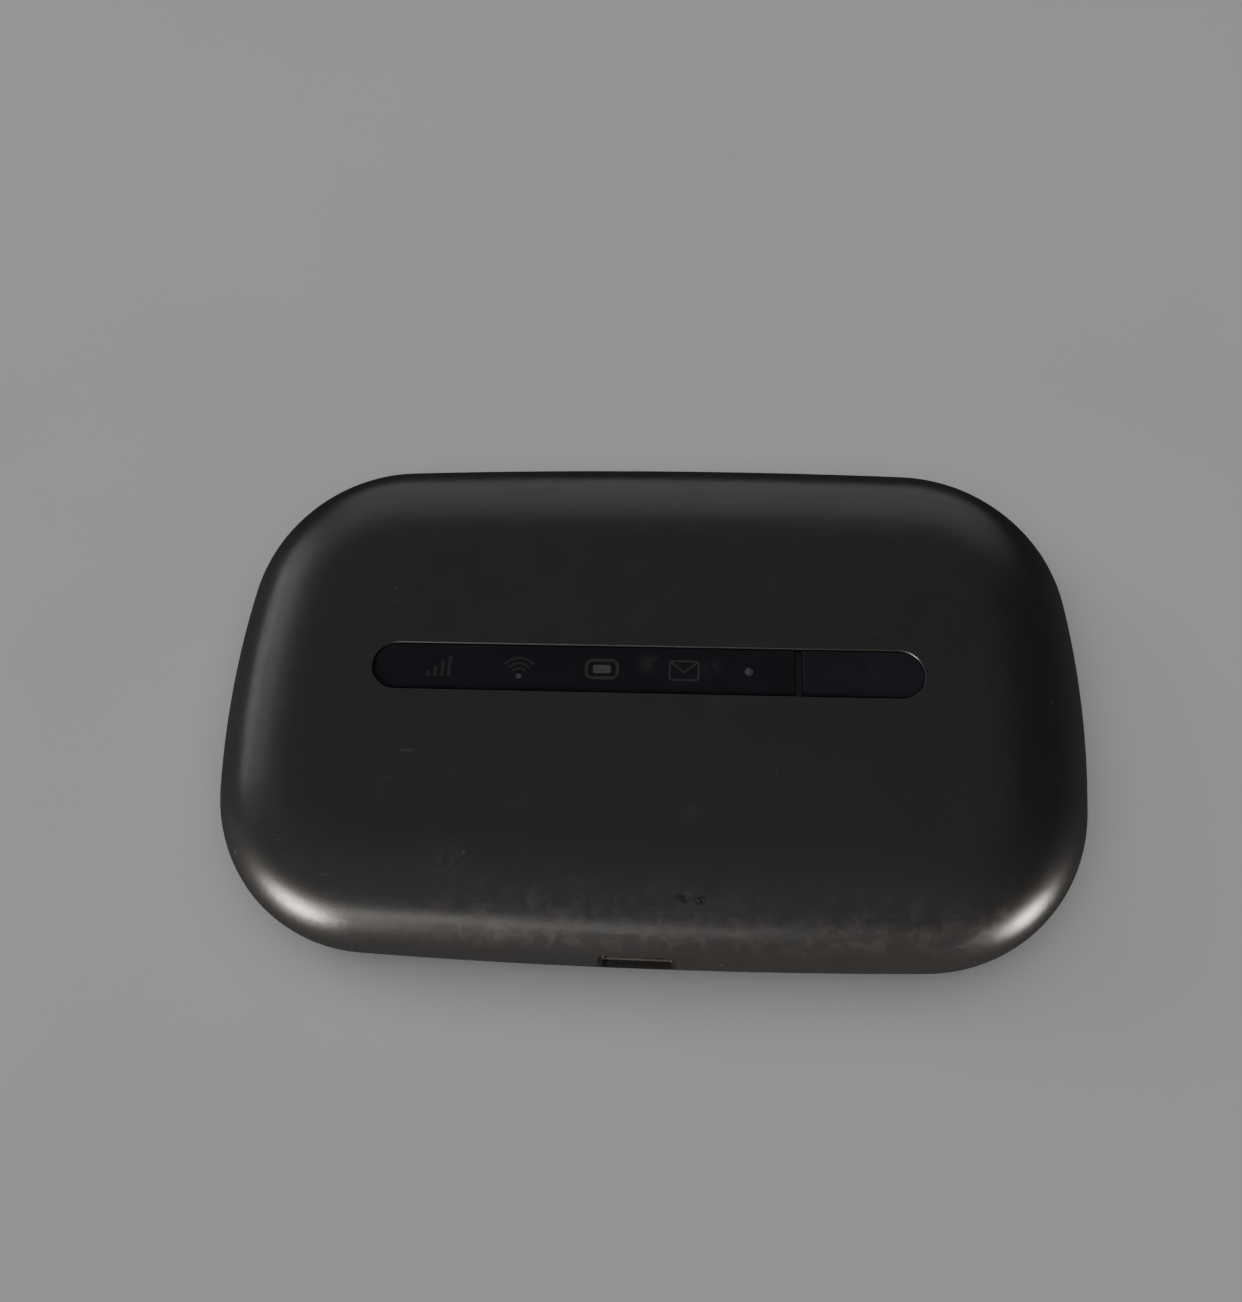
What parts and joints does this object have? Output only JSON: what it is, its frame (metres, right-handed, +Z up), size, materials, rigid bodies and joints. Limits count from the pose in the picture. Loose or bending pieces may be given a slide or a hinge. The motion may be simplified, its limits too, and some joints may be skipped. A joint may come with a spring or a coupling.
{
  "type": "mobile hotspot",
  "caption": "Pocket mobile hotspot with rounded slab casing, glossy front strip with indicator window and power button, snap-off back cover, removable battery and charging socket.",
  "frame": {"origin": "middle of the underside, on the plane it rests on", "axes": "+X along the length towards the power button, +Y away from the charging socket, +Z up out of the front face"},
  "size_m": [0.0968, 0.058, 0.0128],
  "materials": {
    "casing": "fine satin grain",
    "window_black": "polished",
    "icon_grey": "polished",
    "button_black": "polished",
    "inner_black": "spark-eroded",
    "clear_film": "frosted",
    "adhesive": "matt",
    "foam": "open foam",
    "thermal": "soft",
    "board_green": "solder mask",
    "chip_black": "moulded",
    "ceramic_tan": "fired",
    "steel": "stamped",
    "can_steel": "tinned",
    "gold": "plated",
    "copper": "foil",
    "screw_black": "blackened",
    "cell_silver": "satin",
    "cap_black": "moulded",
    "label_dark": "coated",
    "label_white": "coated",
    "connector_black": "moulded",
    "reset_grey": "moulded",
    "led_white": "cast"
  },
  "bodies": {
    "casing": {"front_cover": "casing", "display_window": "window_black", "window_icons": "icon_grey", "chassis": "inner_black", "main_antenna_carrier": "inner_black", "second_antenna_carrier": "inner_black", "light_shroud": "inner_black", "light_film": "clear_film", "window_adhesive": "adhesive", "thermal_pad": "thermal", "main_board": "board_green", "processor": "chip_black", "memory_chip": "chip_black", "radio_chip": "chip_black", "power_chip": "chip_black", "wifi_chip": "chip_black", "power_amplifiers": "chip_black", "power_inductors": "chip_black", "board_capacitors": "ceramic_tan", "usb_shell": "steel", "sim_shell": "steel", "clock_crystal": "steel", "processor_can": "can_steel", "radio_can": "can_steel", "power_can": "can_steel", "battery_contacts": "gold", "usb_contacts": "gold", "sim_contacts": "gold", "antenna_clips": "gold", "main_antenna": "copper", "second_antenna": "copper", "wifi_antenna": "copper", "chassis_screws": "screw_black", "bay_label": "label_white", "moisture_mark": "label_white", "battery_connector": "connector_black", "usb_tongue": "connector_black", "sim_base": "connector_black", "power_switch": "connector_black", "reset_switch": "connector_black", "indicator_leds": "led_white"},
    "power_button": {"power_button": "button_black", "power_switch_stem": "steel"},
    "reset_button": {"reset_button": "reset_grey", "reset_switch_stem": "steel"},
    "back_cover": {"battery_cover": "casing", "cover_pad": "foam"},
    "battery": {"battery_cell": "cell_silver", "battery_end_cap": "cap_black", "battery_terminals": "gold", "battery_label": "label_dark"}
  },
  "joints": [
    {"name": "power_press", "type": "slide", "parent": "casing", "child": "power_button", "axis": [0, 0, -1], "range_m": [0, 0.0003], "stiffness_N_per_m": 2000, "springref_m": -0.0005},
    {"name": "reset_press", "type": "slide", "parent": "casing", "child": "reset_button", "axis": [0, 0, 1], "range_m": [0, 0.00025], "stiffness_N_per_m": 2000, "springref_m": -0.0005},
    {"name": "cover_lift", "type": "slide", "parent": "casing", "child": "back_cover", "axis": [0, 0, -1], "range_m": [0, 0.03]},
    {"name": "battery_lift", "type": "slide", "parent": "casing", "child": "battery", "axis": [0, 0, -1], "range_m": [0, 0.015]}
  ],
  "couplings": [
    {"joint": "battery_lift", "follows": "cover_lift", "ratio": 0.5}
  ]
}
